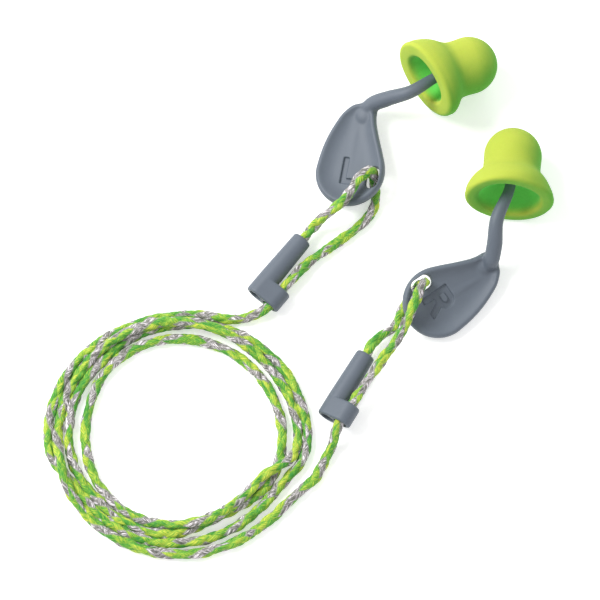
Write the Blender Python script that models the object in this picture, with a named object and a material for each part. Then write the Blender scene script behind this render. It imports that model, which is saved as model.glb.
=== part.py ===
"""Corded foam ear plugs, laid out on a table.

Two bell-shaped foam pods sit on moulded stems whose ends are dished finger grips. One cord joins
the plugs: each end sits in the tube of a slider, runs through the slot of a grip, back through
the slider's foot, and on into a loose coil.

Metres, +Z up. The table is z = 0, and the origin is on it, under the middle of the two plugs.
"""

import math

import bmesh
import bpy
from mathutils import Matrix, Vector
from mathutils.geometry import interpolate_bezier

MM = 0.001
SIDES = ("left", "right")

# Foam pod: a turned bell. Its own +Z runs from the mouth to the dome, and its mouth is z = 0.
DOME_R = 5.92 * MM
DOME_CENTRE = 10.1 * MM
BELL_R = 9.1 * MM
LIP_R = 0.9 * MM
MOUTH_R = 6.3 * MM
CAVITY_DEPTH = 5.3 * MM
SOCKET_R = 1.8 * MM
SOCKET_END = 11.6 * MM
POD_SIDES = 28

# Finger grip: a teardrop with a dished front, flat at the back, and a slot for the cord.
GRIP_R = 7.3 * MM
GRIP_THICK = 2.5 * MM
RIM_WIDTH = 1.4 * MM
DISH_SLOPE = 0.8 * MM
DISH_DEPTH = 1.0 * MM
EDGE_ROUND = 0.6 * MM
SLOT_AT = Vector((5.0, -0.8, 0)) * MM
SLOT_R = 1.45 * MM
SLOT_LENGTH = 4.8 * MM
GRIP_ROLL = math.radians(15.4)

# Stem: round, thickest where it leaves the grip, with a barb inside the foam.
STEM_R = 1.65 * MM
STEM_TIP_R = 1.15 * MM
STEM_SIDES = 12
BARB_R = 1.5 * MM
BARB_LENGTH = 2.4 * MM

# Slider: a tapered tube beside a short foot with a second hole. Its own +Z points to the grip.
SLIDER_LENGTH = 15.4 * MM
TUBE_R = 2.0 * MM
TUBE_FOOT_R = 2.25 * MM
FOOT_R = 2.15 * MM
FOOT_HEIGHT = 4.4 * MM
FOOT_HOLE_X = 3.45 * MM
BORE_R = 1.45 * MM
SLIDER_EDGE = 0.4 * MM
SLIDER_SIDES = 24

# Cord, its end ferrules, and the ring that the coil fills.
CORD_R = 1.1 * MM
FERRULE_R = 1.15 * MM
FERRULE_FROM = 5.5 * MM
FERRULE_TO = 9.0 * MM
TOUCH_GAP = 0.3 * MM
CORD_STEP = 2.2 * MM
COIL_CENTRE = Vector((-52.4, -51.7, 0)) * MM
COIL_OUTER_R = 27.7 * MM
COIL_INNER_R = 16.5 * MM
COIL_HEIGHT = 4.5 * MM

# Where the plugs and sliders lie. Headings are degrees counter-clockwise from +X.
SLOT_WORLD = {
    "left": Vector((-12.5, 2.1, 4.5)) * MM,
    "right": Vector((-2.8, -20.4, 4.5)) * MM,
}
GRIP_HEADING = {"left": 79.4, "right": 35.4}
POD_MOUTH_AT = {
    "left": Vector((-2.1, 21.3, 9.2)) * MM,
    "right": Vector((15.1, -4.0, 9.2)) * MM,
}
POD_HEADING = {"left": 24.0, "right": 84.5}
POD_DIP = 11.5
SLIDER_AT = {
    "left": Vector((-36.5, -22.2, 2.3)) * MM,
    "right": Vector((-21.9, -47.8, 2.3)) * MM,
}
SLIDER_HEADING = {"left": 51.0, "right": 59.0}
SLIDER_ROLL = {"left": 0.0, "right": 30.0}

# The stems, from the grip's narrow end to the pod's mouth. The rest follows the pod's axis.
STEM_ROUTE = {
    "left": [(-12.8, 17.8, 3.9), (-9.5, 18.5, 6.3), (-4.9, 19.1, 9.0)],
    "right": [(11.1, -16.3, 3.9), (12.1, -13.1, 6.3), (12.5, -8.5, 9.0)],
}

# The cord between each slider and its grip, in millimetres. The left one passes over the grip,
# down through its slot and back underneath. The right one starts underneath.
LOOP_ROUTE = {
    "left": [
        (-21.5, -5.3, 4.8), (-19.2, -3.8, 6.0), (-17.2, -1.5, 6.4), (-15.9, 0.7, 6.6),
        (-14.5, 2.3, 6.8), (-13.0, 3.2, 6.3), (-12.5, 2.8, 4.9), (-12.2, 1.7, 3.4),
        (-12.0, 0.5, 2.2), (-11.9, -1.0, 1.4), (-12.2, -2.9, 1.2), (-13.8, -5.7, 1.2),
        (-16.2, -7.9, 1.2), (-20.0, -10.8, 1.2), (-24.4, -14.0, 1.5),
    ],
    "right": [
        (-9.8, -29.8, 1.7), (-8.0, -28.4, 1.2), (-6.9, -25.9, 1.2), (-5.7, -23.3, 1.2),
        (-4.7, -21.6, 1.4), (-3.7, -20.6, 2.1), (-2.9, -20.1, 3.3), (-2.3, -20.1, 4.8),
        (-2.2, -20.7, 6.2), (-2.8, -21.5, 6.8), (-3.5, -23.2, 6.8), (-4.4, -25.5, 6.6),
        (-5.5, -28.1, 6.1), (-6.6, -30.1, 5.2), (-8.0, -32.4, 4.4), (-10.2, -35.3, 3.9),
    ],
}
# From each foot to the edge of the coil.
TAIL_ROUTE = {
    "left": [(-35.6, -25.6, 1.8), (-39.0, -26.7, 1.2)],
    "right": [
        (-20.1, -50.9, 3.6), (-20.9, -53.4, 1.8), (-22.7, -57.0, 1.2), (-24.7, -60.5, 1.2),
    ],
}

GREY = (0.155, 0.180, 0.212)
LIME = (0.560, 0.700, 0.075)
CORD_GREEN = (0.300, 0.560, 0.080)
STEEL = (0.560, 0.570, 0.580)


def clear_scene():
    for thing in list(bpy.data.objects):
        bpy.data.objects.remove(thing)


def material(name, colour, roughness, metallic=0.0):
    made = bpy.data.materials.new(name)
    made.use_nodes = True
    shader = made.node_tree.nodes["Principled BSDF"]
    shader.inputs["Base Color"].default_value = (*colour, 1)
    shader.inputs["Roughness"].default_value = roughness
    shader.inputs["Metallic"].default_value = metallic
    return made


def add_object(name, data, finish=None):
    thing = bpy.data.objects.new(name, data)
    bpy.context.scene.collection.objects.link(thing)
    if finish:
        data.materials.append(finish)
    return thing


def mesh_object(name, bm, finish=None):
    bmesh.ops.recalc_face_normals(bm, faces=bm.faces)
    mesh = bpy.data.meshes.new(name)
    bm.to_mesh(mesh)
    bm.free()
    mesh.shade_smooth()
    mesh.set_sharp_from_angle(angle=math.radians(40))
    return add_object(name, mesh, finish)


def combine(thing, tool, operation):
    """A Boolean on thing. The tool stays as a hidden guide."""
    tool.hide_render = True
    tool.display_type = "WIRE"
    step = thing.modifiers.new(tool.name, "BOOLEAN")
    step.operation = operation
    step.object = tool


def turned(name, profile, sides, finish=None):
    """A closed solid from a profile of (radius, height) points, spun about +Z."""
    bm = bmesh.new()
    points = [bm.verts.new((radius, 0, height)) for radius, height in profile]
    edges = [bm.edges.new(pair) for pair in zip(points, points[1:])]
    bmesh.ops.spin(
        bm, geom=points + edges, axis=(0, 0, 1), angle=math.tau, steps=sides, use_merge=True
    )
    bmesh.ops.remove_doubles(bm, verts=bm.verts, dist=0.001 * MM)
    return mesh_object(name, bm, finish)


def arc(centre, radius, start, end, steps):
    """Points on an arc in a plane, with its angles in degrees."""
    turns = [math.radians(start + (end - start) * i / steps) for i in range(steps + 1)]
    return [(centre[0] + radius * math.cos(a), centre[1] + radius * math.sin(a)) for a in turns]


def smooth_spans(points, per_span, closed=False):
    """A smooth curve through the points, as one list of positions for each span."""
    count = len(points)
    last = count if closed else count - 1

    def at(i):
        return points[i % count] if closed else points[min(max(i, 0), count - 1)]

    def slope(i):
        before, here, after = at(i - 1), at(i), at(i + 1)
        back, ahead = (here - before).length, (after - here).length
        if not back or not ahead:
            return (after - before).normalized()
        return ((here - before) / back * ahead + (after - here) / ahead * back) / (back + ahead)

    spans = []
    for i in range(last):
        reach = (at(i + 1) - at(i)).length / 3
        handles = at(i) + slope(i) * reach, at(i + 1) - slope(i + 1) * reach
        spans.append(interpolate_bezier(at(i), *handles, at(i + 1), per_span + 1)[:-1])
    return spans


def smooth_route(points, step):
    """The smooth curve through the points, read at even steps along it."""
    fine = [p for span in smooth_spans(points, 24) for p in span] + [points[-1]]
    along = [0.0]
    for a, b in zip(fine, fine[1:]):
        along.append(along[-1] + (b - a).length)
    count = round(along[-1] / step)
    route, k = [], 0
    for i in range(count + 1):
        wanted = along[-1] * i / count
        while k < len(fine) - 2 and along[k + 1] < wanted:
            k += 1
        share = (wanted - along[k]) / (along[k + 1] - along[k])
        route.append(fine[k].lerp(fine[k + 1], share))
    return route


def tube(name, route, radii, finish=None, resolution=2):
    """A round bar along the route: a bevelled curve with filled ends."""
    curve = bpy.data.curves.new(name, "CURVE")
    curve.dimensions = "3D"
    curve.bevel_depth = 1.0
    curve.bevel_resolution = resolution
    curve.use_fill_caps = True
    spline = curve.splines.new("POLY")
    spline.points.add(len(route) - 1)
    for point, place, radius in zip(spline.points, route, radii):
        point.co = (*place, 1)
        point.radius = radius
    return add_object(name, curve, finish)


def as_mesh(curve_object):
    """The same shape as a mesh object, for use in a Boolean."""
    bpy.context.view_layer.update()
    graph = bpy.context.evaluated_depsgraph_get()
    mesh = bpy.data.meshes.new_from_object(curve_object.evaluated_get(graph))
    name = curve_object.name
    bpy.data.objects.remove(curve_object)
    bm = bmesh.new()
    bm.from_mesh(mesh)
    bmesh.ops.remove_doubles(bm, verts=bm.verts, dist=0.001 * MM)
    return mesh_object(name, bm)


def cylinder(name, radius, low, high, sides):
    return turned(name, [(0, low), (radius, low), (radius, high), (0, high)], sides)


def prism(name, outline, low, high):
    """A straight-sided solid over a closed outline."""
    bm = bmesh.new()
    base = bm.faces.new([bm.verts.new((x, y, low)) for x, y in outline])
    raised = bmesh.ops.extrude_face_region(bm, geom=[base])["geom"]
    lifted = [part for part in raised if isinstance(part, bmesh.types.BMVert)]
    bmesh.ops.translate(bm, verts=lifted, vec=(0, 0, high - low))
    return mesh_object(name, bm)


def heading_vector(degrees, dip=0.0):
    flat, down = math.radians(degrees), math.radians(dip)
    return Vector(
        (math.cos(flat) * math.cos(down), math.sin(flat) * math.cos(down), -math.sin(down))
    )


def pod_axis(side):
    return heading_vector(POD_HEADING[side], POD_DIP)


def swing_empty(side):
    """The upright axis that a plug swings about, through its cord slot."""
    empty = add_object(side + "_swing", None)
    empty.location = SLOT_WORLD[side]
    return empty


def hang(child, empty):
    child.parent = empty
    child.location -= empty.location


def pod_profile():
    """From the dome's tip down the outside, round the lip, and up the cavity to the socket."""
    dome = arc((0, DOME_CENTRE), DOME_R, 90, 0, 8)
    flare = [(5.85, 8.0), (5.95, 6.7), (6.45, 5.6), (7.3, 4.7), (8.05, 3.7), (8.7, 2.5), (9.0, 1.7)]
    lip = arc((BELL_R - LIP_R, LIP_R), LIP_R, 10, -90, 5)
    mouth = [(MOUTH_R + 0.8 * MM, 0.2 * MM), (MOUTH_R, 0.7 * MM), (MOUTH_R - 0.5 * MM, 1.7 * MM)]
    cavity = [(4.9, 3.4), (3.6, 4.8)]
    floor = [(SOCKET_R, CAVITY_DEPTH), (SOCKET_R, SOCKET_END), (0, SOCKET_END)]
    flare = [(r * MM, z * MM) for r, z in flare]
    cavity = [(r * MM, z * MM) for r, z in cavity]
    return dome + flare + lip + mouth + cavity + floor


def make_pod(side, finish):
    pod = turned(side + "_foam_pod", pod_profile(), POD_SIDES, finish)
    pod.location = POD_MOUTH_AT[side]
    pod.rotation_euler = pod_axis(side).to_track_quat("Z", "Y").to_euler()
    return pod


def grip_outline():
    """The teardrop about the middle of its round end, seen from the front, narrow end up."""
    rounded = arc((0, 0), GRIP_R / MM, -190, 12, 15)
    taper = [(6.1, 4.5), (4.7, 7.8), (3.6, 10.7), (3.0, 12.9), (1.2, 14.6), (-1.5, 14.5)]
    taper += [(-3.6, 12.6), (-5.2, 9.5), (-6.5, 5.6)]
    points = [Vector((x, y, 0)) * MM for x, y in rounded + taper]
    return [span[0] for span in smooth_spans(points, 1, closed=True)]


def slot_outline():
    reach = SLOT_LENGTH / 2 - SLOT_R
    return arc((0, reach), SLOT_R, 0, 180, 8) + arc((0, -reach), SLOT_R, 180, 360, 8)


def make_paddle(side, finish):
    """The grip's plate, with its origin at the slot. The right one is a mirror image."""
    mirror = 1 if side == "left" else -1
    bm = bmesh.new()
    back = -GRIP_THICK / 2
    ring = [bm.verts.new((mirror * p.x, p.y, back)) for p in grip_outline()]
    base = bm.faces.new(ring)
    raised = bmesh.ops.extrude_face_region(bm, geom=[base])["geom"]
    top = [part for part in raised if isinstance(part, bmesh.types.BMFace)]
    lifted = [part for part in raised if isinstance(part, bmesh.types.BMVert)]
    bmesh.ops.translate(bm, verts=lifted, vec=(0, 0, GRIP_THICK))
    bmesh.ops.recalc_face_normals(bm, faces=bm.faces)
    edges = [e for face in (base, *top) for e in face.edges]
    bmesh.ops.bevel(
        bm, geom=edges, offset=EDGE_ROUND, segments=2, profile=0.5, affect="EDGES", material=-1
    )
    bm.faces.ensure_lookup_table()
    front = max(bm.faces, key=lambda face: face.calc_center_median().z)
    bmesh.ops.inset_region(bm, faces=[front], thickness=RIM_WIDTH - EDGE_ROUND)
    bmesh.ops.inset_region(bm, faces=[front], thickness=DISH_SLOPE, depth=-DISH_DEPTH)
    slot = Vector((mirror * SLOT_AT.x, SLOT_AT.y, 0))
    bmesh.ops.translate(bm, verts=bm.verts, vec=-slot)
    return mesh_object(side + "_stem_grip", bm, finish)


def place_grip(thing, side):
    roll = -GRIP_ROLL if side == "left" else GRIP_ROLL
    thing.rotation_euler = (0, roll, math.radians(GRIP_HEADING[side] - 90))
    thing.location = SLOT_WORLD[side]


def stem_route(side):
    """From inside the grip's narrow end, round the knee, and straight along the pod's socket."""
    roll = -GRIP_ROLL if side == "left" else GRIP_ROLL
    turn = Matrix.Rotation(math.radians(GRIP_HEADING[side] - 90), 3, "Z")
    tilt = Matrix.Rotation(roll, 3, "Y")
    mirror = 1 if side == "left" else -1
    root = Vector((-0.3 * MM - SLOT_AT.x, 11.2 * MM - SLOT_AT.y, 0))
    root.x *= mirror
    start = SLOT_WORLD[side] + turn @ tilt @ root
    mouth, axis = POD_MOUTH_AT[side], pod_axis(side)
    inside = [mouth + axis * depth * MM for depth in (3.6, 5.4, 7.6, 9.4)]
    return [start] + [Vector(p) * MM for p in STEM_ROUTE[side]] + inside


def make_grip(side, finish):
    """Paddle and stem in one, with the cord slot cut through."""
    grip = make_paddle(side, finish)
    place_grip(grip, side)
    route = smooth_route(stem_route(side), 1.6 * MM)
    count = len(route) - 1
    radii = []
    for i in range(len(route)):
        taper = min(1.0, max(0.0, (i / count - 0.25) / 0.45))
        radii.append(STEM_R + (STEM_TIP_R - STEM_R) * taper)
    stem = as_mesh(tube(side + "_stem_tool", route, radii))
    combine(grip, stem, "UNION")
    barb_profile = [(0, 0), (BARB_R, 0), (BARB_R, 0.4 * MM), (0.8 * MM, BARB_LENGTH)]
    barb = turned(side + "_barb_tool", barb_profile + [(0, BARB_LENGTH)], STEM_SIDES)
    barb.rotation_euler = pod_axis(side).to_track_quat("Z", "Y").to_euler()
    barb.location = route[-1] - pod_axis(side) * 1.0 * MM
    combine(grip, barb, "UNION")
    slot = prism(side + "_slot_tool", slot_outline(), -3 * MM, 3 * MM)
    place_grip(slot, side)
    combine(grip, slot, "DIFFERENCE")
    return grip


def slider_axes(side):
    """The slider's own X, Y and Z in the world: X to the foot, Z to the grip."""
    along = heading_vector(SLIDER_HEADING[side])
    flat = heading_vector(SLIDER_HEADING[side] - 90)
    roll = math.radians(SLIDER_ROLL[side])
    across = flat * math.cos(roll) + Vector((0, 0, math.sin(roll)))
    return across, along.cross(across), along


def in_slider(side, x, z):
    """The world position of a point on the slider's middle plane."""
    across, _, along = slider_axes(side)
    return SLIDER_AT[side] + across * x + along * z


def make_slider(side, finish):
    outline = arc((FOOT_HOLE_X, 0), FOOT_R, -90, 90, 8)
    outline += arc((0, 0), TUBE_FOOT_R, 90, 270, 8)
    bm = bmesh.new()
    base = bm.faces.new([bm.verts.new((x, y, 0)) for x, y in outline])
    raised = bmesh.ops.extrude_face_region(bm, geom=[base])["geom"]
    lifted = [part for part in raised if isinstance(part, bmesh.types.BMVert)]
    bmesh.ops.translate(bm, verts=lifted, vec=(0, 0, FOOT_HEIGHT))
    bmesh.ops.recalc_face_normals(bm, faces=bm.faces)
    rims = [e for e in bm.edges if abs(e.verts[0].co.z - e.verts[1].co.z) < 0.01 * MM]
    bmesh.ops.bevel(
        bm, geom=rims, offset=SLIDER_EDGE, segments=2, profile=0.5, affect="EDGES", material=-1
    )
    slider = mesh_object(side + "_slider", bm, finish)
    inner_r = TUBE_R - SLIDER_EDGE
    shoulder = SLIDER_LENGTH - SLIDER_EDGE
    barrel_r = TUBE_FOOT_R - 0.05 * MM
    profile = [(0, SLIDER_EDGE), (barrel_r, SLIDER_EDGE), (TUBE_R, shoulder)]
    profile += arc((inner_r, shoulder), SLIDER_EDGE, 45, 90, 1) + [(0, SLIDER_LENGTH)]
    barrel = turned(side + "_barrel_tool", profile, SLIDER_SIDES)
    tube_bore = cylinder(side + "_bore_tool", BORE_R, -MM, SLIDER_LENGTH + MM, 20)
    foot_bore = cylinder(side + "_foot_bore_tool", BORE_R, -MM, FOOT_HEIGHT + MM, 20)
    across, up, along = slider_axes(side)
    turn = Matrix((across, up, along)).transposed().to_euler()
    for thing in (slider, barrel, tube_bore, foot_bore):
        thing.rotation_euler = turn
        thing.location = SLIDER_AT[side]
    foot_bore.location = in_slider(side, FOOT_HOLE_X, 0)
    combine(slider, barrel, "UNION")
    combine(slider, tube_bore, "DIFFERENCE")
    combine(slider, foot_bore, "DIFFERENCE")
    return slider


def make_ferrule(side, finish):
    """The ferrule on the cord's end, inside the slider's tube."""
    ferrule = cylinder(side + "_cord_end", FERRULE_R, FERRULE_FROM, FERRULE_TO, 16)
    ferrule.data.materials.append(finish)
    across, up, along = slider_axes(side)
    ferrule.rotation_euler = Matrix((across, up, along)).transposed().to_euler()
    ferrule.location = SLIDER_AT[side]
    return ferrule


def lead_route(side):
    """From the ferrule through the grip's slot and the slider's foot to the edge of the coil."""
    in_tube = [in_slider(side, 0, FERRULE_TO + TOUCH_GAP)]
    in_tube += [in_slider(side, 0, SLIDER_LENGTH + z * MM) for z in (-2.0, 1.0, 3.2)]
    in_foot = [
        in_slider(side, FOOT_HOLE_X + aside * MM, z * MM)
        for aside, z in ((0.25, 9.2), (0.15, 6.8), (0.08, 4.4), (0, 2.2), (0, 0))
    ]
    loop = [Vector(p) * MM for p in LOOP_ROUTE[side]]
    tail = [Vector(p) * MM for p in TAIL_ROUTE[side]]
    return in_tube + loop + in_foot + tail


def make_lead(side, finish):
    route = smooth_route(lead_route(side), CORD_STEP)
    return tube("cord_" + side + "_lead", route, [CORD_R] * len(route), finish)


def make_coil(finish):
    """The space that the coil fills: a ring with a flat underside and rounded shoulders."""
    shoulder = 1.6 * MM
    top = COIL_HEIGHT - shoulder
    profile = [(COIL_INNER_R + 0.6 * MM, 0), (COIL_OUTER_R - 0.6 * MM, 0)]
    profile += arc((COIL_OUTER_R - shoulder, top), shoulder, 0, 90, 3)
    profile += arc((COIL_INNER_R + shoulder, top), shoulder, 90, 180, 3)
    coil = turned("cord_coil", profile + profile[:1], 48, finish)
    coil.location = COIL_CENTRE
    return coil


def build():
    clear_scene()
    moulding = material("grey_moulding", GREY, 0.42)
    foam = material("lime_foam", LIME, 0.9)
    braid = material("braided_cord", CORD_GREEN, 0.8)
    ferrule_metal = material("ferrule", STEEL, 0.35, 1.0)
    for side in SIDES:
        swing = swing_empty(side)
        hang(make_grip(side, moulding), swing)
        hang(make_pod(side, foam), swing)
        make_slider(side, moulding)
        make_ferrule(side, ferrule_metal)
        make_lead(side, braid)
    make_coil(braid)


build()
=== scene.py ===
"""The finished look of the corded foam ear plugs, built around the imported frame.

Two foam bells on satin moulded grips, joined by one braided cord that runs through two moulded
sliders and lies in a loose coil. Metres, +Z up, and the table is z = 0.
"""

import math

import bmesh
import bpy
import numpy as np
from mathutils import Matrix, Vector
from mathutils.geometry import interpolate_bezier


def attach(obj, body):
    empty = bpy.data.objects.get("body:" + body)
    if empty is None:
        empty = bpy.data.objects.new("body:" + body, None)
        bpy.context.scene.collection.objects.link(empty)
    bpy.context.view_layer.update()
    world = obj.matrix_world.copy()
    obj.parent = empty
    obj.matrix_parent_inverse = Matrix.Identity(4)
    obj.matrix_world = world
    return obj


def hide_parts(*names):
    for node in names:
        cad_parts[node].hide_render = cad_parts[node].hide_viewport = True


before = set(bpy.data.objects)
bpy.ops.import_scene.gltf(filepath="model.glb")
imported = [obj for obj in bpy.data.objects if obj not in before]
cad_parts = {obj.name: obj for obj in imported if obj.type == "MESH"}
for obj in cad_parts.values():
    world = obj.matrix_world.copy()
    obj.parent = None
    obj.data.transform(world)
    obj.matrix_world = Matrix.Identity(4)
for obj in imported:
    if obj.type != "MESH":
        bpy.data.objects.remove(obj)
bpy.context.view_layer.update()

MM = 0.001
SIDES = ("left", "right")
SEED = 7

# Camera: 15 degrees off straight down, from far enough away that the view is nearly parallel.
VIEW_AT = Vector((-27.4, -22.5, 0)) * MM
VIEW_ELEVATION = math.radians(75)
VIEW_DISTANCE = 1.2
VIEW_WIDTH = 122.449 * MM
SENSOR = 36.0

# Where the plugs and sliders lie. Headings are degrees counter-clockwise from +X.
SLOT_WORLD = {
    "left": Vector((-12.5, 2.1, 4.5)) * MM,
    "right": Vector((-2.8, -20.4, 4.5)) * MM,
}
GRIP_HEADING = {"left": 79.4, "right": 35.4}
GRIP_ROLL = {"left": math.radians(-15.4), "right": math.radians(15.4)}
MIRROR = {"left": 1, "right": -1}
POD_MOUTH_AT = {
    "left": Vector((-2.1, 21.3, 9.2)) * MM,
    "right": Vector((15.1, -4.0, 9.2)) * MM,
}
POD_HEADING = {"left": 24.0, "right": 84.5}
POD_DIP = 11.5
SLIDER_AT = {
    "left": Vector((-36.5, -22.2, 2.3)) * MM,
    "right": Vector((-21.9, -47.8, 2.3)) * MM,
}
SLIDER_HEADING = {"left": 51.0, "right": 59.0}
SLIDER_ROLL = {"left": 0.0, "right": 30.0}

# Sizes of the mouldings.
GRIP_R = 7.3
GRIP_THICK = 2.5
DISH_DEPTH = 1.2
LETTER_DEPTH = 0.5
SLOT_AT = Vector((5.0, -0.8, 0)) * MM
SLOT_R = 1.45
SLOT_LENGTH = 4.8
STEM_R = 1.65 * MM
STEM_TIP_R = 1.15 * MM
SLIDER_LENGTH = 15.4
TUBE_R = 2.0
TUBE_FOOT_R = 2.25
FOOT_R = 2.15
FOOT_HEIGHT = 4.4
FOOT_HOLE_X = 3.45
BORE_R = 1.45
FERRULE_TO = 9.0
TOUCH_GAP = 0.3
MOULD_VOXEL = 0.13 * MM
BLEND_ROUNDS = 44
# The direction the foam is painted lightest towards: painted light on the side facing the key light,
# painted shade on the side turned away.
PAINTED_LIGHT_SIDE = (-0.6, 0.28, 0.75)

# The cord.
CORD_DIAMETER = 2.2 * MM
CORD_SIDES = 32
CORD_RING = 0.3 * MM
CORD_COARSE = 1.1 * MM
# The height of the cord's middle where it lies on the table, in millimetres.
CORD_LYING = 1.2
BRAID_PITCH = 10.5 * MM
BRAID_CARRIERS = 3
COIL_CENTRE = Vector((-52.4, -51.7, 0)) * MM

STEM_ROUTE = {
    "left": [(-12.8, 17.8, 3.9), (-9.5, 18.5, 6.3), (-4.9, 19.1, 9.0)],
    "right": [(11.1, -16.3, 3.9), (12.1, -13.1, 6.3), (12.5, -8.5, 9.0)],
}

# The cord between each slider and its grip, in millimetres.
LOOP_ROUTE = {
    "left": [
        (-21.5, -5.3, 4.8), (-19.2, -3.8, 6.0), (-17.2, -1.5, 6.4), (-15.9, 0.7, 6.6),
        (-14.5, 2.3, 6.8), (-13.0, 3.2, 6.3), (-12.5, 2.8, 4.9), (-12.2, 1.7, 3.4),
        (-12.0, 0.5, 2.2), (-11.9, -1.0, 1.4), (-12.2, -2.9, 1.2), (-13.8, -5.7, 1.2),
        (-16.2, -7.9, 1.2), (-20.0, -10.8, 1.2), (-24.4, -14.0, 1.5),
    ],
    "right": [
        (-9.8, -29.8, 1.7), (-8.0, -28.4, 1.2), (-6.9, -25.9, 1.2), (-5.7, -23.3, 1.2),
        (-4.7, -21.6, 1.4), (-3.7, -20.6, 2.1), (-2.9, -20.1, 3.3), (-2.3, -20.1, 4.8),
        (-2.2, -20.7, 6.2), (-2.8, -21.5, 6.8), (-3.5, -23.2, 6.8), (-4.4, -25.5, 6.6),
        (-5.5, -28.1, 6.1), (-6.6, -30.1, 5.2), (-8.0, -32.4, 4.4), (-10.2, -35.3, 3.9),
    ],
}
TAIL_ROUTE = {
    "left": [(-35.6, -25.6, 1.8), (-39.0, -26.7, 1.2)],
    "right": [
        (-20.1, -50.9, 3.6), (-20.9, -53.4, 1.8), (-22.7, -57.0, 1.2), (-24.7, -60.5, 1.2),
    ],
}
# The coil starts and ends at these headings. Each turn's reach is given every sixth of a turn.
COIL_START, COIL_END = 66, 336
COIL_START_REACH, COIL_END_REACH = 26.7, 27.2
COIL_SIXTH = 60
COIL_REACH = (
    (25.2, 26.5, 22.0, 22.3),
    (26.6, 25.0, 23.2, 22.2, 21.2, 18.4),
    (21.8, 21.2, 20.8, 18.8, 19.0, 18.8),
    (25.2, 24.2, 24.2, 24.4, 24.2, 25.0),
)
COIL_POINTS_PER_TURN = 24
COIL_LAYER = 0.55
# How the turns settle: how close they may lie in diameters, and the share moved in each round.
COIL_CLOSEST = 0.88
SETTLING_ROUNDS = 260
HOMING = 0.03
SINKING = 0.012 * MM
STIFFNESS = 0.35
LOWEST, HIGHEST = 1.15 * MM, 3.5 * MM


def linear(hex_colour):
    """An sRGB hex value as linear red, green, blue and alpha."""
    values = [int(hex_colour[i : i + 2], 16) / 255 for i in (1, 3, 5)]
    return (*[v / 12.92 if v <= 0.04045 else ((v + 0.055) / 1.055) ** 2.4 for v in values], 1)


def add_node(tree, kind, settings=None, **links):
    """Add a node. Each link is an input's name, underscores for spaces, and a value or a socket."""
    made = tree.nodes.new(kind)
    for name, value in (settings or {}).items():
        setattr(made, name, value)
    for name, value in links.items():
        key = int(name[1:]) if name[0] == "i" and name[1:].isdigit() else name.replace("_", " ")
        socket = made.inputs[key]
        if isinstance(value, bpy.types.NodeSocket):
            tree.links.new(value, socket)
        else:
            socket.default_value = value
    return made


def new_material(name):
    made = bpy.data.materials.new(name)
    made.use_nodes = True
    return made, made.node_tree, made.node_tree.nodes["Principled BSDF"]


def satin_moulding():
    """Injection-moulded polypropylene, blue-grey: soft highlights, and a faint matt mould grain."""
    made, tree, shader = new_material("satin_polypropylene_moulding")
    place = add_node(tree, "ShaderNodeTexCoord").outputs["Object"]
    cloud = add_node(tree, "ShaderNodeTexNoise", Vector=place, Scale=220.0, Detail=3.0)
    tint = add_node(
        tree, "ShaderNodeMix", {"data_type": "RGBA"}, Factor=cloud.outputs["Fac"],
        i6=linear("#59616C"), i7=linear("#626B76"),
    )
    tree.links.new(tint.outputs[2], shader.inputs["Base Color"])
    # Mould grain: real grain is under 0.05 mm, drawn at about 0.15 mm so that it shows.
    grain = add_node(tree, "ShaderNodeTexNoise", Vector=place, Scale=6500.0, Detail=2.0)
    rough = add_node(
        tree, "ShaderNodeMapRange", Value=cloud.outputs["Fac"], To_Min=0.5, To_Max=0.6
    )
    tree.links.new(rough.outputs["Result"], shader.inputs["Roughness"])
    bump = add_node(
        tree, "ShaderNodeBump", Height=grain.outputs["Fac"], Strength=0.12, Distance=0.02 * MM
    )
    tree.links.new(bump.outputs["Normal"], shader.inputs["Normal"])
    shader.inputs["IOR"].default_value = 1.49
    return made


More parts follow.
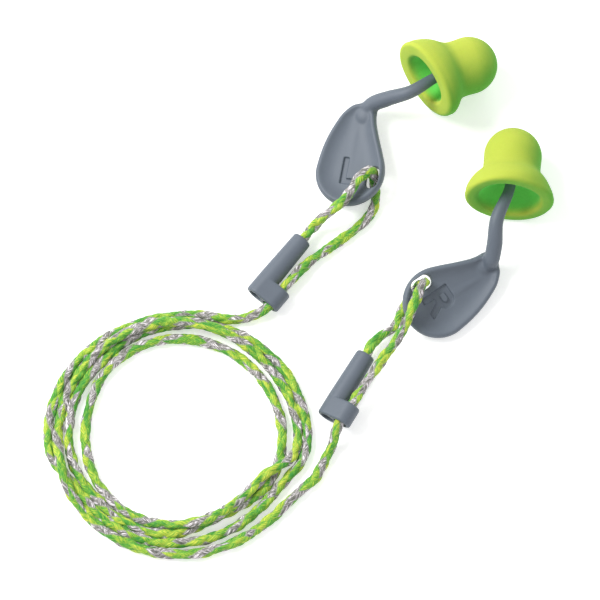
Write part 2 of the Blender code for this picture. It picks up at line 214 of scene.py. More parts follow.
def slow_foam():
    """Moulded PU foam, lime: dead matt, a thin skin over pores of about 0.2 mm."""
    made, tree, shader = new_material("moulded_pu_foam")
    place = add_node(tree, "ShaderNodeTexCoord").outputs["Object"]
    hollow = add_node(tree, "ShaderNodeAttribute", {"attribute_name": "hollow"}).outputs["Fac"]
    cloud = add_node(tree, "ShaderNodeTexNoise", Vector=place, Scale=260.0, Detail=4.0)
    # Painted light and shade: the foam is painted a lighter lime where it faces the key light and a
    # deeper green, as painted shade, where it turns away; a little random mottling is mixed in.
    facing = add_node(tree, "ShaderNodeTexCoord").outputs["Normal"]
    lit_facing = add_node(
        tree, "ShaderNodeVectorMath", {"operation": "DOT_PRODUCT"}, i0=facing, i1=PAINTED_LIGHT_SIDE
    )
    mottle_and_painted_light = add_node(
        tree, "ShaderNodeMath", {"operation": "MULTIPLY_ADD"}, i0=cloud.outputs["Fac"], i1=0.3,
        i2=lit_facing.outputs["Value"],
    )
    painted_light_share = add_node(
        tree, "ShaderNodeMapRange", {"interpolation_type": "SMOOTHSTEP"},
        Value=mottle_and_painted_light.outputs[0], From_Min=-0.25, From_Max=1.05,
    )
    # Painted shade colour first, painted light colour second: lit and shaded copies of the lime
    # skin.
    skin = add_node(
        tree, "ShaderNodeMix", {"data_type": "RGBA"}, Factor=painted_light_share.outputs["Result"],
        i6=linear("#5FA33B"), i7=linear("#B2C04A"),
    )
    inside = add_node(
        tree, "ShaderNodeMix", {"data_type": "RGBA"}, Factor=hollow,
        i6=skin.outputs[2], i7=linear("#6CD45A"),
    )
    pores = add_node(tree, "ShaderNodeTexVoronoi", Vector=place, Scale=4200.0)
    specks = add_node(
        tree, "ShaderNodeMapRange", Value=pores.outputs["Distance"], From_Min=0.0,
        From_Max=0.35, To_Min=0.82, To_Max=1.0,
    )
    dotted = add_node(
        tree, "ShaderNodeMix", {"data_type": "RGBA", "blend_type": "MULTIPLY"}, Factor=1.0,
        i6=inside.outputs[2], i7=specks.outputs["Result"],
    )
    tree.links.new(dotted.outputs[2], shader.inputs["Base Color"])
    shader.inputs["Roughness"].default_value = 0.92
    shader.inputs["Specular IOR Level"].default_value = 0.2
    shader.inputs["Subsurface Weight"].default_value = 0.2
    shader.inputs["Subsurface Radius"].default_value = (0.6, 1.0, 0.3)
    shader.inputs["Subsurface Scale"].default_value = 1.6 * MM
    fine = add_node(tree, "ShaderNodeTexNoise", Vector=place, Scale=2600.0, Detail=4.0)
    height = add_node(
        tree, "ShaderNodeMath", {"operation": "ADD"}, i0=fine.outputs["Fac"],
        i1=pores.outputs["Distance"],
    )
    bump = add_node(
        tree, "ShaderNodeBump", Height=height.outputs["Value"], Strength=0.35, Distance=0.06 * MM
    )
    tree.links.new(bump.outputs["Normal"], shader.inputs["Normal"])
    return made


def polyester_braid():
    """Round polyester braid: lime and grey carriers of fine yarn, with light stray yarns."""
    made, tree, shader = new_material("round_polyester_braid")
    weave = add_node(tree, "ShaderNodeAttribute", {"attribute_name": "weave"}).outputs["Vector"]
    parts = add_node(tree, "ShaderNodeSeparateXYZ", Vector=weave)
    across, along, dye = (parts.outputs[k] for k in ("X", "Y", "Z"))
    # Yarns lie side by side along each carrier, five to a carrier.
    lane = add_node(tree, "ShaderNodeMath", {"operation": "MULTIPLY"}, i0=across, i1=5.0)
    yarn_at = add_node(tree, "ShaderNodeCombineXYZ", X=lane.outputs[0], Y=along, Z=dye)
    stitch = add_node(tree, "ShaderNodeTexNoise", Vector=yarn_at.outputs[0], Scale=1.6, Detail=2.0)
    wave = add_node(
        tree, "ShaderNodeMath", {"operation": "PINGPONG"}, i0=lane.outputs[0], i1=0.5
    )
    tone = add_node(tree, "ShaderNodeAttribute", {"attribute_name": "tone"}).outputs["Fac"]
    shade = add_node(
        tree, "ShaderNodeMapRange", Value=tone, To_Min=-0.17, To_Max=0.13
    )
    lot = add_node(
        tree, "ShaderNodeMath", {"operation": "ADD"}, i0=stitch.outputs["Fac"],
        i1=shade.outputs["Result"],
    )
    greens = add_node(tree, "ShaderNodeValToRGB", Fac=lot.outputs[0])
    ramp_colours(greens, [(0.28, "#2F8A2C"), (0.42, "#5BA633"), (0.55, "#97BF38"), (0.7, "#CBD64A")])
    greys = add_node(tree, "ShaderNodeValToRGB", Fac=stitch.outputs["Fac"])
    ramp_colours(greys, [(0.34, "#5F6058"), (0.47, "#85847E"), (0.55, "#A5A0A0"), (0.61, "#EDE6EC")])
    colour = add_node(
        tree, "ShaderNodeMix", {"data_type": "RGBA"}, Factor=dye, i6=greens.outputs[0],
        i7=greys.outputs[0],
    )
    groove = add_node(
        tree, "ShaderNodeMapRange", Value=wave.outputs[0], From_Max=0.2, To_Min=0.72, To_Max=1.0
    )
    shaded = add_node(
        tree, "ShaderNodeMix", {"data_type": "RGBA", "blend_type": "MULTIPLY"}, Factor=1.0,
        i6=colour.outputs[2], i7=groove.outputs["Result"],
    )
    # Painted shade: the crevices where the bundles sink between one another are darkened towards
    # deep green.
    painted_shade_share = add_node(tree, "ShaderNodeAttribute", {"attribute_name": "painted_crevice_shade"}).outputs["Fac"]
    with_painted_shade = add_node(
        tree, "ShaderNodeMix", {"data_type": "RGBA", "blend_type": "MULTIPLY"}, Factor=painted_shade_share,
        i6=shaded.outputs[2], i7=linear("#4C8A3C"),
    )
    tree.links.new(with_painted_shade.outputs[2], shader.inputs["Base Color"])
    shader.inputs["Roughness"].default_value = 0.72
    shader.inputs["Sheen Weight"].default_value = 0.25
    shader.inputs["Sheen Roughness"].default_value = 0.4
    bump = add_node(
        tree, "ShaderNodeBump", Height=wave.outputs[0], Strength=0.5, Distance=0.08 * MM
    )
    tree.links.new(bump.outputs["Normal"], shader.inputs["Normal"])
    return made


def ramp_colours(node, stops):
    ramp = node.color_ramp
    while len(ramp.elements) < len(stops):
        ramp.elements.new(0.5)
    for element, (at, colour) in zip(ramp.elements, stops):
        element.position = at
        element.color = linear(colour)


def drawn_aluminium():
    """Drawn aluminium tube, as cord ferrules are: satin, with a fine mottle in its roughness."""
    made, tree, shader = new_material("drawn_aluminium")
    place = add_node(tree, "ShaderNodeTexCoord").outputs["Object"]
    lines = add_node(tree, "ShaderNodeTexNoise", Vector=place, Scale=3000.0, Detail=3.0)
    rough = add_node(
        tree, "ShaderNodeMapRange", Value=lines.outputs["Fac"], To_Min=0.25, To_Max=0.42
    )
    tree.links.new(rough.outputs["Result"], shader.inputs["Roughness"])
    shader.inputs["Base Color"].default_value = linear("#C9CBCD")
    shader.inputs["Metallic"].default_value = 1.0
    return made


def add_object(name, data, finish=None):
    thing = bpy.data.objects.new(name, data)
    bpy.context.scene.collection.objects.link(thing)
    if finish:
        data.materials.append(finish)
    return thing


def mesh_object(name, bm, finish=None):
    bmesh.ops.recalc_face_normals(bm, faces=bm.faces)
    mesh = bpy.data.meshes.new(name)
    bm.to_mesh(mesh)
    bm.free()
    mesh.shade_smooth()
    return add_object(name, mesh, finish)


def wrapped(around, rings, place, attributes=None):
    """A closed skin: a grid rolled up round a line. place takes arrays of turn and ring number."""
    bm = bmesh.new()
    bmesh.ops.create_grid(bm, x_segments=around, y_segments=rings - 1, size=1)
    mesh = bpy.data.meshes.new("rolled")
    bm.to_mesh(mesh)
    flat = np.empty(len(mesh.vertices) * 3)
    mesh.vertices.foreach_get("co", flat)
    flat = flat.reshape(-1, 3)
    low, high = flat.min(axis=0), flat.max(axis=0)
    turn = np.round((flat[:, 0] - low[0]) / (high[0] - low[0]) * around).astype(int)
    ring = np.round((flat[:, 1] - low[1]) / (high[1] - low[1]) * (rings - 1)).astype(int)
    points = place(turn % around, ring)
    mesh.vertices.foreach_set("co", np.ascontiguousarray(points, dtype=np.float32).ravel())
    for name, (kind, values) in (attributes(turn % around, ring) if attributes else {}).items():
        layer = mesh.attributes.new(name, kind, "POINT")
        key = "vector" if kind == "FLOAT_VECTOR" else "value"
        layer.data.foreach_set(key, np.ascontiguousarray(values, dtype=np.float32).ravel())
    bm.free()
    bm = bmesh.new()
    bm.from_mesh(mesh)
    bpy.data.meshes.remove(mesh)
    bmesh.ops.remove_doubles(bm, verts=bm.verts, dist=0.0005 * MM)
    open_edges = [e for e in bm.edges if e.is_boundary]
    if open_edges:
        bmesh.ops.holes_fill(bm, edges=open_edges, sides=0)
    return bm


def combine(thing, tool, operation):
    step = thing.modifiers.new(tool.name, "BOOLEAN")
    step.operation = operation
    step.object = tool
    step.solver = "MANIFOLD"


def settled(name, thing, tools, finish):
    """Apply the modifiers of thing and bring its place into its mesh."""
    bpy.context.view_layer.update()
    graph = bpy.context.evaluated_depsgraph_get()
    mesh = bpy.data.meshes.new_from_object(thing.evaluated_get(graph))
    mesh.transform(thing.matrix_world)
    for old in (thing, *tools):
        bpy.data.objects.remove(old)
    mesh.name = name
    mesh.materials.clear()
    mesh.shade_smooth()
    return add_object(name, mesh, finish)


def soften(thing, rounds):
    """Remesh the moulding evenly, then round every edge as a mould does."""
    step = thing.modifiers.new("even_skin", "REMESH")
    step.mode = "VOXEL"
    step.voxel_size = MOULD_VOXEL
    step = thing.modifiers.new("round_edges", "SMOOTH")
    step.factor = 0.5
    step.iterations = rounds


def fused(name, parts):
    """Closed parts that overlap, made one even skin."""
    bm = bmesh.new()
    for part in parts:
        bm.from_mesh(part.data)
    whole = mesh_object(name, bm)
    step = whole.modifiers.new("even_skin", "REMESH")
    step.mode = "VOXEL"
    step.voxel_size = MOULD_VOXEL
    step = whole.modifiers.new("blend", "SMOOTH")
    step.factor = 0.5
    step.iterations = BLEND_ROUNDS
    return settled(name, whole, parts, None)


def arc(centre, radius, start, end, steps):
    turns = [math.radians(start + (end - start) * i / steps) for i in range(steps + 1)]
    return [(centre[0] + radius * math.cos(a), centre[1] + radius * math.sin(a)) for a in turns]


def smooth_spans(points, per_span, closed=False):
    count = len(points)
    last = count if closed else count - 1

    def at(i):
        return points[i % count] if closed else points[min(max(i, 0), count - 1)]

    def slope(i):
        before, here, after = at(i - 1), at(i), at(i + 1)
        back, ahead = (here - before).length, (after - here).length
        if not back or not ahead:
            return (after - before).normalized()
        return ((here - before) / back * ahead + (after - here) / ahead * back) / (back + ahead)

    spans = []
    for i in range(last):
        reach = (at(i + 1) - at(i)).length / 3
        handles = at(i) + slope(i) * reach, at(i + 1) - slope(i + 1) * reach
        spans.append(interpolate_bezier(at(i), *handles, at(i + 1), per_span + 1)[:-1])
    return spans


def even_route(points, step):
    """The smooth curve through the points, read at even steps, as an array."""
    fine = [p for span in smooth_spans(points, 24) for p in span] + [points[-1]]
    fine = np.array([tuple(p) for p in fine])
    along = np.concatenate([[0], np.cumsum(np.linalg.norm(np.diff(fine, axis=0), axis=1))])
    wanted = np.linspace(0, along[-1], round(along[-1] / step) + 1)
    return np.column_stack([np.interp(wanted, along, fine[:, k]) for k in range(3)])


def heading_vector(degrees, dip=0.0):
    flat, down = math.radians(degrees), math.radians(dip)
    return Vector(
        (math.cos(flat) * math.cos(down), math.sin(flat) * math.cos(down), -math.sin(down))
    )


def carried_frames(route):
    """Directions along the route, and two across it that turn as little as they can."""
    along = np.gradient(route, axis=0)
    along /= np.linalg.norm(along, axis=1)[:, None]
    across = np.zeros_like(along)
    start = np.cross(along[0], (0, 0, 1.0))
    across[0] = start / np.linalg.norm(start)
    for i in range(1, len(route)):
        moved = across[i - 1] - along[i] * np.dot(across[i - 1], along[i])
        across[i] = moved / np.linalg.norm(moved)
    return along, across, np.cross(along, across)


def slider_axes(side):
    along = heading_vector(SLIDER_HEADING[side])
    flat = heading_vector(SLIDER_HEADING[side] - 90)
    roll = math.radians(SLIDER_ROLL[side])
    across = flat * math.cos(roll) + Vector((0, 0, math.sin(roll)))
    return across, along.cross(across), along


def in_slider(side, x, z):
    across, _, along = slider_axes(side)
    return SLIDER_AT[side] + (across * x + along * z) * MM


def lead_points(side):
    points = [in_slider(side, 0, FERRULE_TO + TOUCH_GAP)]
    points += [in_slider(side, 0, SLIDER_LENGTH + z) for z in (-2.0, 1.0, 3.2)]
    points += [Vector(p) * MM for p in LOOP_ROUTE[side]]
    foot = ((0.25, 9.2), (0.15, 6.8), (0.08, 4.4), (0, 2.2), (0, 0))
    points += [in_slider(side, FOOT_HOLE_X + aside, z) for aside, z in foot]
    return points + [Vector(p) * MM for p in TAIL_ROUTE[side]]


def coil_points():
    """The loose turns: the reach eases from one sixth to the next, and each turn lies higher."""
    reach = [value for turn in COIL_REACH for value in turn]
    heading = [COIL_SIXTH * (step + 2) for step in range(len(reach))]
    last = 360 * (len(COIL_REACH) - 1) + COIL_END
    heading = [COIL_START] + heading + [last]
    reach = [COIL_START_REACH] + reach + [COIL_END_REACH]
    marks = [Vector((at / COIL_SIXTH, value, 0)) for at, value in zip(heading, reach)]
    eased = even_route(marks, 0.05)
    count = round((last - COIL_START) / 360 * COIL_POINTS_PER_TURN)
    points = []
    for step in range(count + 1):
        degrees = COIL_START + (last - COIL_START) * step / count
        radius = np.interp(degrees / COIL_SIXTH, eased[:, 0], eased[:, 1])
        layers = (degrees - COIL_START) / 360 * COIL_LAYER
        settling = max(0, degrees - (last - COIL_SIXTH)) / COIL_SIXTH
        height = CORD_LYING + layers * (1 - settling)
        flat = math.radians(degrees)
        place = Vector((radius * math.cos(flat), radius * math.sin(flat), height))
        points.append(COIL_CENTRE + place * MM)
    return points


def lay_coil(route, first, last):
    """Let the coil's turns settle, a little under a diameter apart, on the table and each other."""
    home = route.copy()
    free = np.zeros(len(route))
    free[first:last] = 1.0
    for end, sign in ((first, 1), (last, -1)):
        for k in range(12):
            at = end + sign * k
            free[at] = k / 12
    gap = CORD_DIAMETER * COIL_CLOSEST
    i, j = np.triu_indices(len(route), k=6)
    near = np.linalg.norm(home[i, :2] - home[j, :2], axis=1) < 3.2 * CORD_DIAMETER
    i, j = i[near], j[near]
    spot = route.copy()
    for _ in range(SETTLING_ROUNDS):
        apart = spot[i] - spot[j]
        far = np.linalg.norm(apart, axis=1) + 1e-9
        short = np.clip(gap - far, 0, None)
        hit = short > 0
        push = apart[hit] / far[hit, None] * (short[hit, None] * 0.5)
        push[:, 2] *= 1.3
        move = np.zeros_like(spot)
        count = np.zeros(len(spot))
        np.add.at(move, i[hit], push)
        np.add.at(move, j[hit], -push)
        np.add.at(count, i[hit], 1)
        np.add.at(count, j[hit], 1)
        move /= np.maximum(count, 1)[:, None]
        spot = spot + move * free[:, None]
        pull = (home - spot) * np.array((HOMING, HOMING, 0.0))
        spot += pull * free[:, None]
        spot[:, 2] -= SINKING * free
        bend = np.zeros_like(spot)
        bend[1:-1] = (spot[:-2] + spot[2:]) / 2 - spot[1:-1]
        spot += bend * STIFFNESS * free[:, None]
        spot[:, 2] = np.where(free > 0, np.clip(spot[:, 2], LOWEST, HIGHEST), spot[:, 2])
    return spot


def cord_route():
    left, right = lead_points("left"), lead_points("right")
    points = left + coil_points() + right[::-1]
    coarse = even_route(points, CORD_COARSE)
    start, end = np.array(left[-1]), np.array(right[-1])
    half = len(coarse) // 2
    first = int(np.argmin(np.linalg.norm(coarse[:half] - start, axis=1)))
    last = half + int(np.argmin(np.linalg.norm(coarse[half:] - end, axis=1)))
    laid = lay_coil(coarse, first, last)
    return even_route([Vector(p) for p in laid], CORD_RING)


def slow_noise(length, wavelength, rng):
    """A smooth random line of values from about -1 to 1."""
    knots = rng.uniform(-1, 1, int(length / wavelength) + 4)
    at = np.linspace(0, len(knots) - 3.001, int(length / CORD_RING) + 2) + 1
    k = at.astype(int)
    t = at - k
    t = t * t * (3 - 2 * t)
    return knots[k] * (1 - t) + knots[k + 1] * t


# Each carrier's dye: 0 is lime and 1 is grey.
DYE = {1: (0, 1, 0), -1: (0, 0, 1)}


def braid_surface(turn, ring, drift, swell, twist):
    """The braid at each point: radius, place across and along the carrier, dye, painted crevice
    shade and tone.
    """
    theta = turn / CORD_SIDES * math.tau
    v = ring * CORD_RING + drift[ring] * 1.1 * MM
    n = BRAID_CARRIERS
    a = theta / math.tau * n - n * v / BRAID_PITCH
    b = theta / math.tau * n + n * v / BRAID_PITCH
    ca, cb = np.round(a), np.round(b)
    x, y = a - ca, b - cb
    over = np.where((ca + cb) % 2 == 0, 1.0, -1.0)

    def bundle(u):
        return np.sqrt(np.clip(1 - (1.75 * u) ** 2, 0, None))

    first = 0.28 * bundle(x) + 0.19 * over * np.cos(math.pi * y)
    second = 0.28 * bundle(y) - 0.19 * over * np.cos(math.pi * x)
    top = np.maximum(first, second)
    one = first >= second
    across = np.where(one, x, y)
    along = np.where(one, b, a) + np.where(one, 0, 37.0)
    dyes = {s: np.array(DYE[s], dtype=float) for s in DYE}
    dye = np.where(one, dyes[1][ca.astype(int) % n], dyes[-1][cb.astype(int) % n])
    mixed = np.abs(np.sin(ca * 12.9898 + cb * 78.233 + np.where(one, 0, 3.1)) * 43758.5453) % 1
    dye = np.where(mixed < 0.1, 1 - dye, dye)
    tone = (mixed * 7.31) % 1
    flat = 1 + 0.15 * np.cos(2 * (theta - twist[ring])) + 0.07 * swell[ring]
    radius = (0.56 * flat + top * (0.95 + 0.4 * tone)) * MM
    # Painted shade: the lower the surface sinks below the bundles' tops, the darker it is painted.
    painted_crevice_shade = np.clip((0.16 - top) / 0.2, 0, 1)
    return radius, across, along, dye, painted_crevice_shade, tone


def make_cord(finish):
    route = cord_route()
    rng = np.random.default_rng(SEED)
    length = len(route) * CORD_RING
    drift = slow_noise(length, 9 * MM, rng)
    swell = slow_noise(length, 6 * MM, rng)
    twist = np.cumsum(0.09 + 0.05 * slow_noise(length, 20 * MM, rng))
    _, side_way, up_way = carried_frames(route)

    def place(turn, ring):
        radius = braid_surface(turn, ring, drift, swell, twist)[0][:, None]
        angle = (turn / CORD_SIDES * math.tau)[:, None]
        out = np.cos(angle) * side_way[ring] + np.sin(angle) * up_way[ring]
        return route[ring] + out * radius

    def marks(turn, ring):
        _, *parts = braid_surface(turn, ring, drift, swell, twist)
        across, along, dye, painted_crevice_shade, tone = parts
        weave = np.column_stack([across, along, dye])
        return {
            "weave": ("FLOAT_VECTOR", weave), "painted_crevice_shade": ("FLOAT", painted_crevice_shade),
            "tone": ("FLOAT", tone),
        }

    bm = wrapped(CORD_SIDES, len(route), place, marks)
    cord = mesh_object("braided_cord", bm, finish)
    return cord, route


def pod_profile():
    """From the dome's tip down the outside, round the lip and up the hollow to the stem."""
    dome = arc((0, 10.1), 5.92, 90, 2, 16)
    flare = [
        (5.87, 8.9), (5.85, 8.0), (5.87, 7.3), (5.97, 6.6), (6.25, 6.0), (6.7, 5.35), (7.25, 4.75),
        (7.8, 4.05), (8.25, 3.3), (8.6, 2.6), (8.85, 1.9),
    ]
    lip = arc((8.3, 0.75), 0.75, 25, -90, 10)
    mouth = [(7.5, 0.0), (6.85, 0.06), (6.5, 0.3), (6.3, 0.75), (6.05, 1.6), (5.65, 2.5), (5.0, 3.3)]
    floor = [(4.2, 4.1), (3.2, 4.8), (2.3, 5.1), (1.9, 5.5), (1.8, 6.2), (1.8, 11.2), (1.5, 11.6)]
    return np.array(dome + flare + lip + mouth + floor + [(0, 11.6)])


POD_SIDES = 96
POD_RINGS = 90
# The left bell's flange leans on its stem, so its mouth faces another way than its dome.
POD_LEAN = {"left": 13.2, "right": 0.0}
POD_TURN = {"left": 21.6, "right": 84.5}
# How wide the flange and the mouth are, as shares of the profile's.
POD_FLANGE = {"left": 0.955, "right": 1.005}
POD_MOUTH = {"left": 0.86, "right": 1.0}
# The profile's points where the lip ends and where the hollow's colour starts.
LIP_END = 39
HOLLOW_FROM = 41
POD_MOUTH_SHIFT = {"left": Vector((0.05, 0.4, 0)) * MM, "right": Vector((0, 0, 0))}


def make_pod(side, finish):
    profile = pod_profile()
    lips = (profile[:, 1] < 4.5) & (np.arange(len(profile)) > LIP_END)
    profile[lips, 0] *= POD_MOUTH[side]
    along = np.concatenate(
        [[0], np.cumsum(np.linalg.norm(np.diff(profile, axis=0), axis=1))]
    )
    wanted = np.linspace(0, along[-1], POD_RINGS)
    radii = np.interp(wanted, along, profile[:, 0])
    heights = np.interp(wanted, along, profile[:, 1])
    inner = np.clip((along - along[HOLLOW_FROM]) / 1.6, 0, 1)
    hollow = np.interp(wanted, along, inner)
    mouth = POD_MOUTH_AT[side] + POD_MOUTH_SHIFT[side]
    axis = np.array(heading_vector(POD_TURN[side], POD_DIP))
    rng = np.random.default_rng(SEED + MIRROR[side])
    waves = rng.uniform(0, math.tau, (3, 2))

    def place(turn, ring):
        angle = turn / POD_SIDES * math.tau
        s = heights[ring]
        grow = 1 + (POD_FLANGE[side] - 1) * np.clip((7 - s) / 6, 0, 1)
        dent = sum(
            0.012 * np.sin((k + 2) * angle + waves[k, 0] + s * 0.3 * (k + 1)) for k in range(3)
        )
        radius = radii[ring] * (grow + dent * np.clip((8 - s) / 8, 0.15, 1))
        lean = np.clip(1 - s / 7.5, 0, 1)
        lean = np.radians(POD_LEAN[side]) * lean * lean * (3 - 2 * lean)
        base_side = np.cross(axis, (0, 0, 1.0))
        base_side /= np.linalg.norm(base_side)
        up = np.cross(base_side, axis)
        tilted = base_side * np.cos(lean)[:, None] + axis * np.sin(lean)[:, None]
        out = np.cos(angle)[:, None] * tilted + np.sin(angle)[:, None] * up
        centre = np.array(mouth) + axis * (s * MM)[:, None]
        return centre + out * (radius * MM)[:, None]

    def marks(turn, ring):
        return {"hollow": ("FLOAT", hollow[ring])}

    return mesh_object(side + "_foam_bell", wrapped(POD_SIDES, POD_RINGS, place, marks), finish)


def grip_outline():
    rounded = arc((0, 0), GRIP_R, -190, 12, 15)
    taper = [(6.1, 4.5), (4.7, 7.8), (3.6, 10.7), (3.0, 12.9), (1.2, 14.6), (-1.5, 14.5)]
    taper += [(-3.6, 12.6), (-5.2, 9.5), (-6.5, 5.6)]
    points = [Vector((x, y, 0)) for x, y in rounded + taper]
    return np.array([tuple(p)[:2] for span in smooth_spans(points, 6, closed=True) for p in span])


# A low swelling under the stem's root.
BOSS_AT = (0.8, 12.9, -0.2)
BOSS_SIZE = (2.5, 2.6, 1.25)
# The plate's middle line: places along it, how far it lies to one side, and the dish's half width.
SPINE_ALONG = (0, 4.5, 7.8, 10.7, 11.6)
SPINE_ASIDE = (0, -0.4, -0.57, -0.55, -0.45)
DISH_WIDTH = (4.6, 4.6, 4.4, 3.5, 2.7)
RIM_WIDTH = 0.85


def grip_plate():
    """The plate before its slot: a rounded rim and a smooth dish. Its origin is the slot."""
    outline = grip_outline()
    spine = np.column_stack([
        np.interp(outline[:, 1], SPINE_ALONG, SPINE_ASIDE),
        np.clip(outline[:, 1], 0, SPINE_ALONG[-1]),
    ])
    reach = np.linalg.norm(outline - spine, axis=1)
    half = GRIP_THICK / 2
    edge = [(0.9, -half), (0.5, -half + 0.08), (0.2, -half + 0.3), (0.03, -half + 0.65)]
    edge += [(0, 0.1), (0.05, half - 0.62), (0.2, half - 0.32), (0.45, half - 0.1)]
    edge += [(0.7, half)]
    loops = [("share", f, -half) for f in (0.15, 0.4, 0.65, 0.85)]
    loops += [("inset", d, z) for d, z in edge]
    loops += [("dish", f, 0) for f in (0.05, 0.1, 0.16, 0.23, 0.31, 0.4, 0.5, 0.6, 0.72, 0.86)]

    def place(turn, ring):
        result = np.zeros((len(turn), 3))
        for at, (kind, value, z) in enumerate(loops):
            mine = ring == at
            k = turn[mine]
            if kind == "share":
                inset = 0.9 + (reach[k] - 0.9) * (1 - value)
            elif kind == "inset":
                inset = np.full(len(k), value)
            else:
                inset = 0.7 + (reach[k] - 0.7) * value
            wide = np.interp(spine[k, 1], SPINE_ALONG, DISH_WIDTH)
            s = np.clip((inset - RIM_WIDTH) / (wide - RIM_WIDTH), 0, 1)
            depth = DISH_DEPTH * (wide / DISH_WIDTH[0]) ** 0.6 * (1 - (1 - s) ** 2.4)
            height = half - depth if kind == "dish" else z
            inward = 1 - inset / reach[k]
            flat = spine[k] + (outline[k] - spine[k]) * inward[:, None]
            result[mine, 0], result[mine, 1] = flat[:, 0], flat[:, 1]
            result[mine, 2] = height
        return result * MM - np.array(SLOT_AT)

    return wrapped(len(outline), len(loops), place)


def grip_matrix(side):
    turn = Matrix.Rotation(math.radians(GRIP_HEADING[side] - 90), 4, "Z")
    return Matrix.Translation(SLOT_WORLD[side]) @ turn @ Matrix.Rotation(GRIP_ROLL[side], 4, "Y")


def prism_bm(outline, low, high):
    bm = bmesh.new()
    base = bm.faces.new([bm.verts.new((x * MM, y * MM, low * MM)) for x, y in outline])
    raised = bmesh.ops.extrude_face_region(bm, geom=[base])["geom"]
    lifted = [part for part in raised if isinstance(part, bmesh.types.BMVert)]
    bmesh.ops.translate(bm, verts=lifted, vec=(0, 0, (high - low) * MM))
    return bm


def slot_outline():
    reach = SLOT_LENGTH / 2 - SLOT_R
    return arc((0, reach), SLOT_R, 0, 180, 12) + arc((0, -reach), SLOT_R, 180, 360, 12)


def letter_outline(side):
    """Plain block letters for left and right, about the middle of the grip's round end."""
    if side == "left":
        return [[(-1.9, -2.6), (1.7, -2.6), (1.7, -1.4), (-0.7, -1.4), (-0.7, 3.1), (-1.9, 3.1)]]
    spine = [(-2.3, -2.6), (-1.0, -2.6), (-1.0, 3.5), (-2.3, 3.5)]
    bowl = [(-1.1, 3.5), (-1.1, 2.25)] + arc((0.3, 1.65), 0.6, 90, -90, 6)
    bowl += [(-1.1, 1.05), (-1.1, -0.2)] + arc((0.3, 1.65), 1.85, -90, 90, 10)
    leg = [(-0.6, 0.5), (1.0, 0.5), (2.6, -2.6), (1.1, -2.6)]
    return [spine, bowl, leg]


def make_grip(side, finish):
    bm = grip_plate()
    if side == "right":
        bmesh.ops.scale(bm, vec=(-1, 1, 1), verts=bm.verts)
    plate = mesh_object(side + "_plate", bm)
    plate.data.transform(grip_matrix(side))
    mirror = MIRROR[side]
    root = Vector(((-0.2 * MM - SLOT_AT.x) * mirror, 11.7 * MM - SLOT_AT.y, -0.5 * MM))
    start = grip_matrix(side) @ root
    mouth = POD_MOUTH_AT[side]
    axis = heading_vector(POD_HEADING[side], POD_DIP)
    inside = [mouth + axis * depth * MM for depth in (3.6, 5.4, 7.6, 9.4, 10.2)]
    route = even_route([start] + [Vector(p) * MM for p in STEM_ROUTE[side]] + inside, 0.4 * MM)
    _, side_way, up_way = carried_frames(route)
    count = len(route) - 1
    share = np.arange(len(route)) / count
    radii = STEM_R + (STEM_TIP_R - STEM_R) * np.clip((share - 0.25) / 0.45, 0, 1)
    # The stem grows out of the plate's narrow end, so it starts slim inside it.
    rise = np.clip(share * len(route) * 0.4 / 3.4, 0, 1)
    radii *= 0.42 + 0.58 * rise * rise * (3 - 2 * rise)
    radii[0] = radii[-1] = 0

    def place(turn, ring):
        angle = (turn / 40 * math.tau)[:, None]
        out = np.cos(angle) * side_way[ring] + np.sin(angle) * up_way[ring]
        return route[ring] + out * radii[ring][:, None]

    stem = mesh_object(side + "_stem_tool", wrapped(40, len(route), place))
    boss = bmesh.new()
    bmesh.ops.create_icosphere(boss, subdivisions=4, radius=1)
    bmesh.ops.scale(boss, vec=Vector(BOSS_SIZE) * MM, verts=boss.verts)
    place_at = Vector((BOSS_AT[0] * mirror, BOSS_AT[1], BOSS_AT[2])) * MM
    place_at -= Vector((SLOT_AT.x * mirror, SLOT_AT.y, 0))
    bmesh.ops.translate(boss, vec=place_at, verts=boss.verts)
    bmesh.ops.transform(boss, matrix=grip_matrix(side), verts=boss.verts)
    boss = mesh_object(side + "_boss", boss)
    plate = fused(side + "_blank", (plate, stem, boss))
    slot = mesh_object(side + "_slot_tool", prism_bm(slot_outline(), -4, 4))
    slot.data.transform(grip_matrix(side))
    combine(plate, slot, "DIFFERENCE")
    tools = [slot]
    floor = GRIP_THICK / 2 - DISH_DEPTH
    for number, outline in enumerate(letter_outline(side)):
        bm = prism_bm(outline, floor - LETTER_DEPTH, floor + 1)
        move = Vector((-SLOT_AT.x * mirror, -SLOT_AT.y, 0))
        bmesh.ops.translate(bm, verts=bm.verts, vec=move)
        tool = mesh_object(side + f"_letter_{number}", bm)
        tool.data.transform(grip_matrix(side))
        combine(plate, tool, "DIFFERENCE")
        tools.append(tool)
    soften(plate, 4)
    return settled(side + "_grip_moulding", plate, tools, finish)


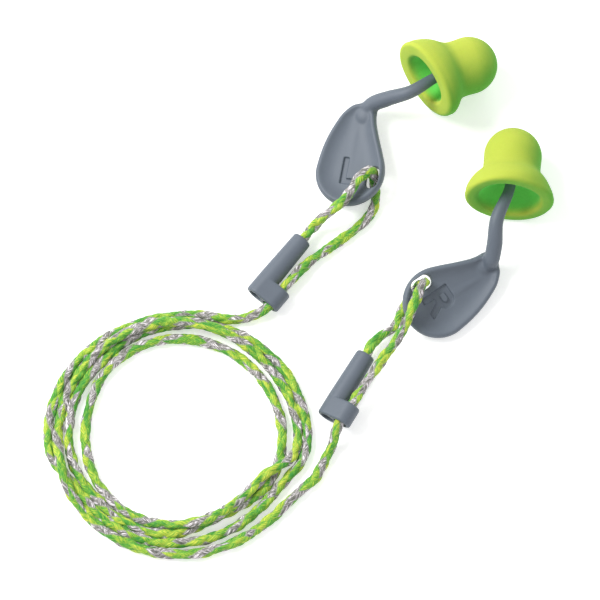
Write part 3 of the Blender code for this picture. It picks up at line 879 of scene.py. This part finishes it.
def make_slider(side, finish):
    outline = arc((FOOT_HOLE_X, 0), FOOT_R, -90, 90, 16)
    outline += arc((0, 0), TUBE_FOOT_R, 90, 270, 16)
    bm = prism_bm(outline, 0, FOOT_HEIGHT)
    rims = [e for e in bm.edges if abs(e.verts[0].co.z - e.verts[1].co.z) < 0.01 * MM]
    bmesh.ops.bevel(
        bm, geom=rims, offset=0.45 * MM, segments=3, profile=0.5, affect="EDGES", material=-1
    )
    slider = mesh_object(side + "_slider_body", bm)
    edge = 0.45
    profile = np.array(
        [(0, 0), (TUBE_FOOT_R - 0.4, 0), (TUBE_FOOT_R - 0.1, 0.12), (TUBE_FOOT_R + 0.01, 0.45),
         (TUBE_FOOT_R, FOOT_HEIGHT + 0.4), (TUBE_R, SLIDER_LENGTH - edge)]
        + arc((TUBE_R - edge, SLIDER_LENGTH - edge), edge, 15, 90, 4) + [(0, SLIDER_LENGTH)]
    )

    def turned(sides, marks):
        def place(turn, ring):
            angle = turn / sides * math.tau
            radius = marks[ring, 0]
            return np.column_stack(
                [radius * np.cos(angle), radius * np.sin(angle), marks[ring, 1]]
            ) * MM

        return wrapped(sides, len(marks), place)

    barrel = mesh_object(side + "_barrel_tool", turned(48, profile))
    tools = [barrel]
    combine(slider, barrel, "UNION")
    ends = ((0, SLIDER_LENGTH), (FOOT_HOLE_X, FOOT_HEIGHT))
    for x, top in ends:
        rod = [(0, -1), (BORE_R, -1), (BORE_R, top + 1), (0, top + 1)]
        bore = mesh_object(side + f"_bore_{round(x)}", turned(40, np.array(rod)))
        bore.data.transform(Matrix.Translation((x * MM, 0, 0)))
        combine(slider, bore, "DIFFERENCE")
        tools.append(bore)
    soften(slider, 3)
    across, up, along = slider_axes(side)
    turn = Matrix((across, up, along)).transposed().to_4x4()
    made = settled(side + "_slider_moulding", slider, tools, finish)
    made.data.transform(Matrix.Translation(SLIDER_AT[side]) @ turn)
    return made


def add_camera():
    data = bpy.data.cameras.new("view_from_above")
    camera = add_object("view_from_above", data)
    back = Vector((0, -math.cos(VIEW_ELEVATION), math.sin(VIEW_ELEVATION)))
    camera.location = VIEW_AT + back * VIEW_DISTANCE
    camera.rotation_euler = (math.pi / 2 - VIEW_ELEVATION, 0, 0)
    data.sensor_width = SENSOR
    data.lens = SENSOR * VIEW_DISTANCE / VIEW_WIDTH
    data.clip_start, data.clip_end = 0.01, 20
    bpy.context.scene.camera = camera


def add_area(name, place, size, power, aim):
    data = bpy.data.lights.new(name, "AREA")
    data.shape = "DISK"
    data.size = size
    data.energy = power
    lamp = add_object(name, data)
    lamp.location = place
    lamp.rotation_euler = (Vector(aim) - Vector(place)).to_track_quat("-Z", "Y").to_euler()


def add_studio():
    """A white board under a soft key from the upper left, a weaker light behind and a weak fill."""
    bm = bmesh.new()
    bmesh.ops.create_grid(bm, x_segments=1, y_segments=1, size=3)
    made, tree, shader = new_material("matt_white_board")
    shader.inputs["Base Color"].default_value = linear("#F6F6F6")
    shader.inputs["Roughness"].default_value = 0.9
    # A little light of its own, as a lit acrylic sweep has, keeps the shadows faint.
    shader.inputs["Emission Color"].default_value = (1, 1, 1, 1)
    shader.inputs["Emission Strength"].default_value = 0.4
    floor = mesh_object("studio_floor", bm, made)
    aim = tuple(VIEW_AT)
    add_area("key_light", (-0.6, 0.25, 0.7), 0.5, 8.3, aim)
    add_area("top_light", (0.1, 0.8, 0.5), 0.5, 1.2, aim)
    add_area("fill_light", (0.5, -0.6, 0.8), 0.8, 1.0, aim)
    world = bpy.data.worlds.new("soft_room")
    world.use_nodes = True
    background = world.node_tree.nodes["Background"]
    background.inputs["Color"].default_value = (1, 1, 1, 1)
    background.inputs["Strength"].default_value = 0.62
    bpy.context.scene.world = world
    bpy.context.scene.view_settings.view_transform = "Standard"


add_camera()
moulding = satin_moulding()
foam = slow_foam()
braid = polyester_braid()
aluminium = drawn_aluminium()

cord, cord_line = make_cord(braid)
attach(cord, "cord")
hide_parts("cord_coil", "cord_left_lead", "cord_right_lead")

for side in SIDES:
    pod = make_pod(side, foam)
    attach(pod, side + "_pod")
    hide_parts(side + "_foam_pod")
    grip = make_grip(side, moulding)
    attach(grip, side + "_grip")
    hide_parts(side + "_stem_grip")
    slider = make_slider(side, moulding)
    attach(slider, side + "_slider")
    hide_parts(side + "_slider")
    ferrule = bpy.data.objects[side + "_cord_end"]
    for own in ferrule.material_slots:
        own.material = aluminium

add_studio()
